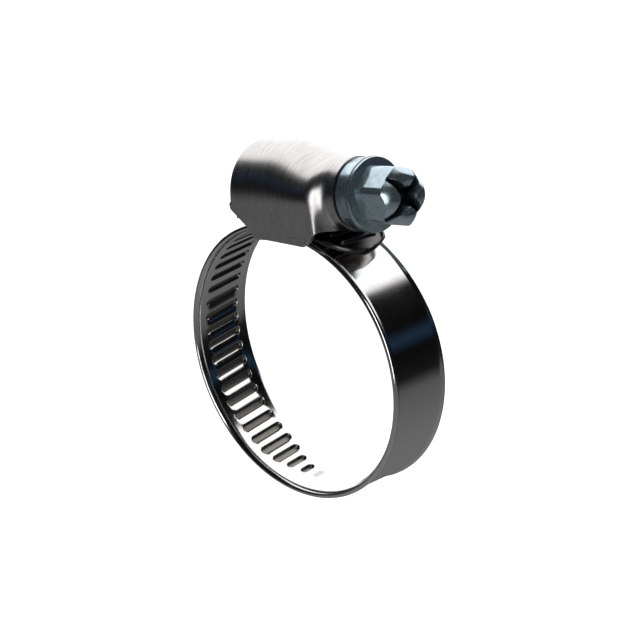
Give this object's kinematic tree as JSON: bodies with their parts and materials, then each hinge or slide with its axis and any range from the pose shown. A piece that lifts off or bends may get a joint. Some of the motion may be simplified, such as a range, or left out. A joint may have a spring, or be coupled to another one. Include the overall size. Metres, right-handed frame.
{
  "type": "worm-drive hose clamp",
  "caption": "Worm-drive hose clamp: a ribbed steel band closed round a hose by a hexagon-head worm screw held in a folded housing.",
  "frame": {"origin": "centre of the hose, on the clamp's axis, at half the band's width", "axes": "+Y along the hose, +Z through the housing, +X along the screw towards its head"},
  "size_m": [0.0397, 0.0128, 0.0459],
  "materials": {
    "band_steel": "bright rolled stainless strip, fine grain across the band",
    "housing_steel": "stainless sheet with fine upright brushing",
    "zinc_screw": "blue-grey bright zinc plating"
  },
  "bodies": {
    "root": {"housing": "housing_steel", "band_anchor": "band_steel"},
    "screw": {"screw": "zinc_screw"},
    "band_link_01": {"band_link_01": "band_steel"},
    "band_link_02": {"band_link_02": "band_steel"},
    "band_link_03": {"band_link_03": "band_steel"},
    "band_link_04": {"band_link_04": "band_steel"},
    "band_link_05": {"band_link_05": "band_steel"},
    "band_link_06": {"band_link_06": "band_steel"},
    "band_link_07": {"band_link_07": "band_steel"},
    "band_link_08": {"band_link_08": "band_steel"},
    "band_link_09": {"band_link_09": "band_steel"},
    "band_link_10": {"band_link_10": "band_steel"},
    "band_link_11": {"band_link_11": "band_steel"},
    "band_link_12": {"band_link_12": "band_steel"},
    "band_end": {"band_link_13": "band_steel", "band_tail": "band_steel"}
  },
  "joints": [
    {"name": "screw_turn", "type": "hinge", "parent": "root", "child": "screw", "pos_m": [0, 0, 0.02175], "axis": [-1, 0, 0], "range_deg": [-360, 2160]},
    {"name": "band_bend_01", "type": "hinge", "parent": "root", "child": "band_link_01", "pos_m": [0.00771, 0, 0.01526], "axis": [0, 1, 0], "range_deg": [-0.77, 4.55]},
    {"name": "band_bend_02", "type": "hinge", "parent": "band_link_01", "child": "band_link_02", "pos_m": [0.01347, 0, 0.01054], "axis": [0, 1, 0], "range_deg": [-0.5, 2.91]},
    {"name": "band_bend_03", "type": "hinge", "parent": "band_link_02", "child": "band_link_03", "pos_m": [0.01667, 0, 0.00382], "axis": [0, 1, 0], "range_deg": [-0.5, 2.91]},
    {"name": "band_bend_04", "type": "hinge", "parent": "band_link_03", "child": "band_link_04", "pos_m": [0.01671, 0, -0.00363], "axis": [0, 1, 0], "range_deg": [-0.5, 2.91]},
    {"name": "band_bend_05", "type": "hinge", "parent": "band_link_04", "child": "band_link_05", "pos_m": [0.01359, 0, -0.01039], "axis": [0, 1, 0], "range_deg": [-0.5, 2.91]},
    {"name": "band_bend_06", "type": "hinge", "parent": "band_link_05", "child": "band_link_06", "pos_m": [0.00788, 0, -0.01517], "axis": [0, 1, 0], "range_deg": [-0.5, 2.91]},
    {"name": "band_bend_07", "type": "hinge", "parent": "band_link_06", "child": "band_link_07", "pos_m": [0.00069, 0, -0.01709], "axis": [0, 1, 0], "range_deg": [-0.52, 3.04]},
    {"name": "band_bend_08", "type": "hinge", "parent": "band_link_07", "child": "band_link_08", "pos_m": [-0.00711, 0, -0.01561], "axis": [0, 1, 0], "range_deg": [-0.52, 3.04]},
    {"name": "band_bend_09", "type": "hinge", "parent": "band_link_08", "child": "band_link_09", "pos_m": [-0.01346, 0, -0.01086], "axis": [0, 1, 0], "range_deg": [-0.52, 3.04]},
    {"name": "band_bend_10", "type": "hinge", "parent": "band_link_09", "child": "band_link_10", "pos_m": [-0.01708, 0, -0.00381], "axis": [0, 1, 0], "range_deg": [-0.52, 3.04]},
    {"name": "band_bend_11", "type": "hinge", "parent": "band_link_10", "child": "band_link_11", "pos_m": [-0.01724, 0, 0.00412], "axis": [0, 1, 0], "range_deg": [-0.52, 3.04]},
    {"name": "band_bend_12", "type": "hinge", "parent": "band_link_11", "child": "band_link_12", "pos_m": [-0.01391, 0, 0.01131], "axis": [0, 1, 0], "range_deg": [-0.52, 3.04]},
    {"name": "band_bend_13", "type": "hinge", "parent": "band_link_12", "child": "band_end", "pos_m": [-0.00775, 0, 0.01631], "axis": [0, 1, 0], "range_deg": [-0.52, 3.04]}
  ],
  "couplings": [
    {"joint": "band_bend_01", "follows": "screw_turn", "ratio": 0.0021},
    {"joint": "band_bend_02", "follows": "screw_turn", "ratio": 0.00134},
    {"joint": "band_bend_03", "follows": "screw_turn", "ratio": 0.00134},
    {"joint": "band_bend_04", "follows": "screw_turn", "ratio": 0.00134},
    {"joint": "band_bend_05", "follows": "screw_turn", "ratio": 0.00134},
    {"joint": "band_bend_06", "follows": "screw_turn", "ratio": 0.00134},
    {"joint": "band_bend_07", "follows": "screw_turn", "ratio": 0.0014},
    {"joint": "band_bend_08", "follows": "screw_turn", "ratio": 0.0014},
    {"joint": "band_bend_09", "follows": "screw_turn", "ratio": 0.0014},
    {"joint": "band_bend_10", "follows": "screw_turn", "ratio": 0.0014},
    {"joint": "band_bend_11", "follows": "screw_turn", "ratio": 0.0014},
    {"joint": "band_bend_12", "follows": "screw_turn", "ratio": 0.0014},
    {"joint": "band_bend_13", "follows": "screw_turn", "ratio": 0.0014}
  ]
}
